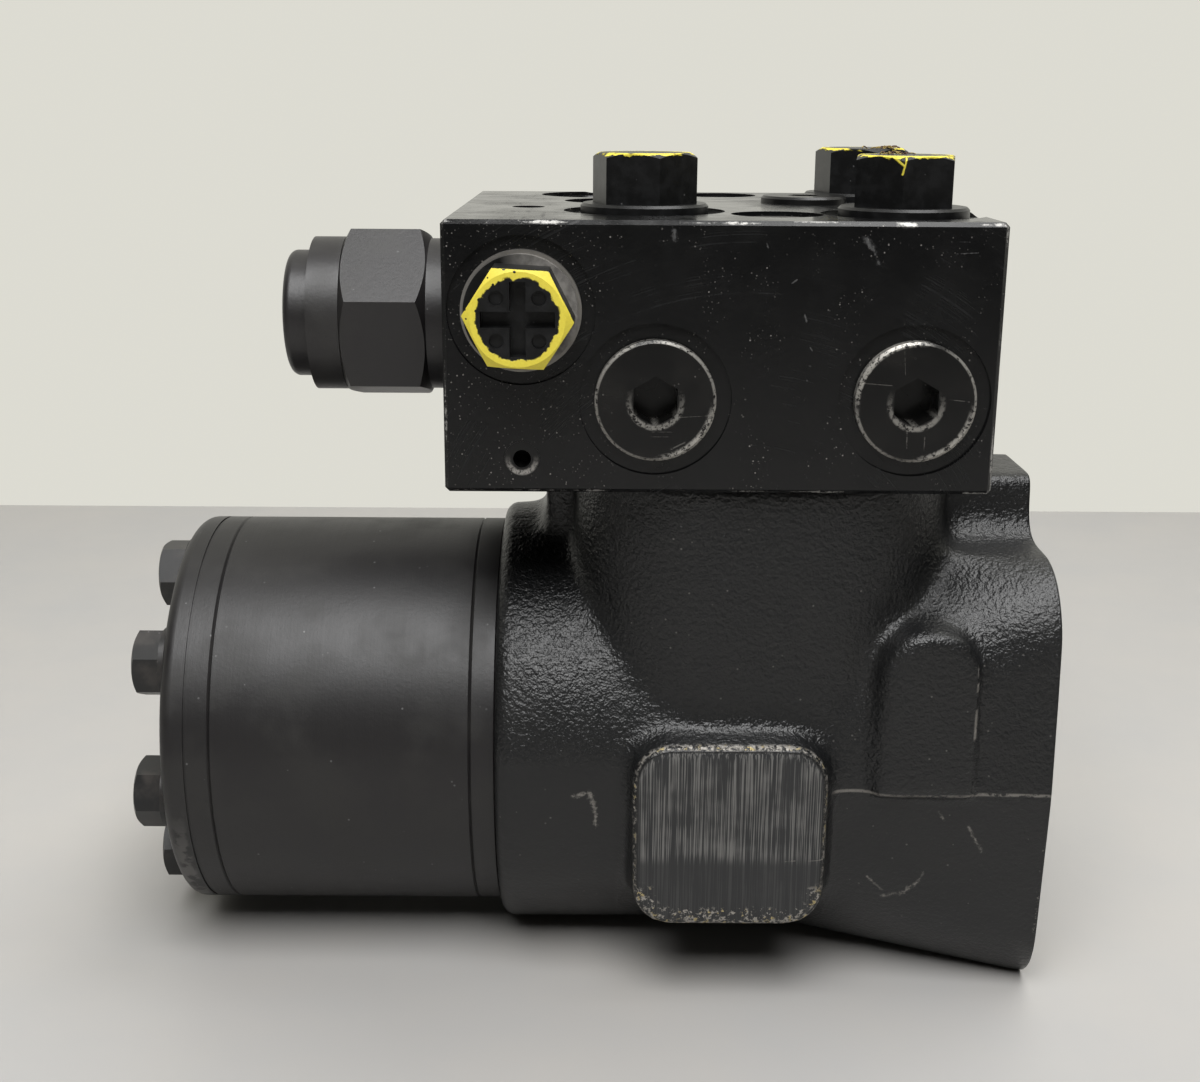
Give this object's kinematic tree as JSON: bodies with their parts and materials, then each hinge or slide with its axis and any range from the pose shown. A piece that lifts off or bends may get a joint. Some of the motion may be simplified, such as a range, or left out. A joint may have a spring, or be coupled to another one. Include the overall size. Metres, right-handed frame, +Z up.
{
  "type": "orbital steering unit",
  "caption": "Hydraulic orbital steering unit: cast housing, gear set and end cover on one axis, with a valve block and its plugs on top.",
  "frame": {"origin": "centre of the column mounting face, on the shaft axis", "axes": "+X out of the mounting face along the shaft axis, +Z up to the valve block, +Y to the side with the working ports"},
  "size_m": [0.184, 0.112, 0.1659],
  "materials": {
    "black_paint": "semi-gloss paint on a cast surface",
    "block_paint": "glossy paint on machined faces, worn bright on its edges",
    "dark_disc": "satin paint on turned discs",
    "cap_black": "satin black",
    "plug_black": "satin black, worn at the rims",
    "dark_screws": "dark grey oxide",
    "washer_steel": "bare and scratched",
    "bare_steel": "turned",
    "hard_steel": "ground",
    "spring_steel": "drawn and tempered",
    "seal_rubber": "matt"
  },
  "bodies": {
    "housing": {"housing": "black_paint", "distributor_plate": "dark_disc", "gear_ring": "dark_disc", "end_cover": "dark_disc", "cover_screws": "dark_screws", "cover_washers": "dark_screws", "disc_seals": "seal_rubber", "valve_block": "block_paint", "block_seals": "seal_rubber", "block_screws": "dark_screws", "front_port_plugs": "plug_black", "front_plug_seals": "seal_rubber", "relief_washer": "washer_steel", "relief_plug": "plug_black", "pilot_orifice": "bare_steel", "top_plugs": "plug_black", "top_plug_seals": "seal_rubber", "low_plug": "plug_black", "priority_cap": "cap_black", "cap_seal": "seal_rubber", "check_bush": "bare_steel", "bearing_race_outer": "hard_steel", "shaft_seal": "seal_rubber", "dust_seal": "seal_rubber", "relief_spring": "spring_steel", "left_shock_spring": "spring_steel", "right_shock_spring": "spring_steel", "suction_spring": "spring_steel", "priority_spring": "spring_steel"},
    "bearing": {"bearing_cage": "bare_steel", "bearing_needles": "hard_steel"},
    "sleeve": {"sleeve": "hard_steel", "cross_pin": "hard_steel", "spring_ring": "spring_steel", "centring_springs": "spring_steel", "bearing_race_inner": "hard_steel"},
    "spool": {"spool": "hard_steel"},
    "orbit": {"drive_spacer": "bare_steel"},
    "rotor": {"gear_rotor": "hard_steel"},
    "cardan": {"cardan_shaft": "hard_steel"},
    "priority_valve": {"priority_spool": "hard_steel"},
    "relief_valve": {"relief_poppet": "hard_steel"},
    "left_shock_valve": {"left_shock_poppet": "hard_steel"},
    "right_shock_valve": {"right_shock_poppet": "hard_steel"},
    "suction_valve": {"suction_poppet": "hard_steel"},
    "check_valve": {"check_ball": "hard_steel"}
  },
  "joints": [
    {"name": "sleeve_spin", "type": "hinge", "parent": "housing", "child": "sleeve", "pos_m": [-0.07, 0, 0], "axis": [1, 0, 0], "continuous": true},
    {"name": "spool_deflection", "type": "hinge", "parent": "sleeve", "child": "spool", "pos_m": [-0.07, 0, 0], "axis": [1, 0, 0], "range_deg": [-10, 10], "stiffness_Nm_per_rad": 8, "deforming": ["centring_springs"]},
    {"name": "bearing_roll", "type": "hinge", "parent": "housing", "child": "bearing", "pos_m": [-0.02375, 0, 0], "axis": [1, 0, 0], "continuous": true},
    {"name": "rotor_orbit", "type": "hinge", "parent": "housing", "child": "orbit", "pos_m": [-0.14, 0, 0], "axis": [1, 0, 0], "continuous": true},
    {"name": "rotor_spin", "type": "hinge", "parent": "orbit", "child": "rotor", "pos_m": [-0.14, 0, -0.0035], "axis": [1, 0, 0], "continuous": true},
    {"name": "cardan_spin", "type": "hinge", "parent": "orbit", "child": "cardan", "pos_m": [-0.07, 0, 0], "axis": [0.9989, 0, 0.046], "continuous": true},
    {"name": "priority_slide", "type": "slide", "parent": "housing", "child": "priority_valve", "axis": [-1, 0, 0], "range_m": [0, 0.008], "stiffness_N_per_m": 5000, "springref_m": -0.004, "deforming": ["priority_spring"]},
    {"name": "relief_slide", "type": "slide", "parent": "housing", "child": "relief_valve", "axis": [0, -1, 0], "range_m": [0, 0.0015], "stiffness_N_per_m": 20000, "springref_m": -0.003, "deforming": ["relief_spring"]},
    {"name": "left_shock_slide", "type": "slide", "parent": "housing", "child": "left_shock_valve", "axis": [0, 0, 1], "range_m": [0, 0.002], "stiffness_N_per_m": 12000, "springref_m": -0.003, "deforming": ["left_shock_spring"]},
    {"name": "right_shock_slide", "type": "slide", "parent": "housing", "child": "right_shock_valve", "axis": [0, 0, 1], "range_m": [0, 0.002], "stiffness_N_per_m": 12000, "springref_m": -0.003, "deforming": ["right_shock_spring"]},
    {"name": "suction_slide", "type": "slide", "parent": "housing", "child": "suction_valve", "axis": [0, 0, 1], "range_m": [0, 0.002], "stiffness_N_per_m": 1500, "springref_m": -0.001, "deforming": ["suction_spring"]},
    {"name": "check_ball_lift", "type": "slide", "parent": "housing", "child": "check_valve", "axis": [0, 0, 1], "range_m": [0, 0.0019]}
  ],
  "couplings": [
    {"joint": "bearing_roll", "follows": "sleeve_spin", "ratio": 0.5},
    {"joint": "rotor_orbit", "follows": "sleeve_spin", "ratio": -6},
    {"joint": "rotor_spin", "follows": "sleeve_spin", "ratio": 7},
    {"joint": "cardan_spin", "follows": "sleeve_spin", "ratio": 7}
  ]
}
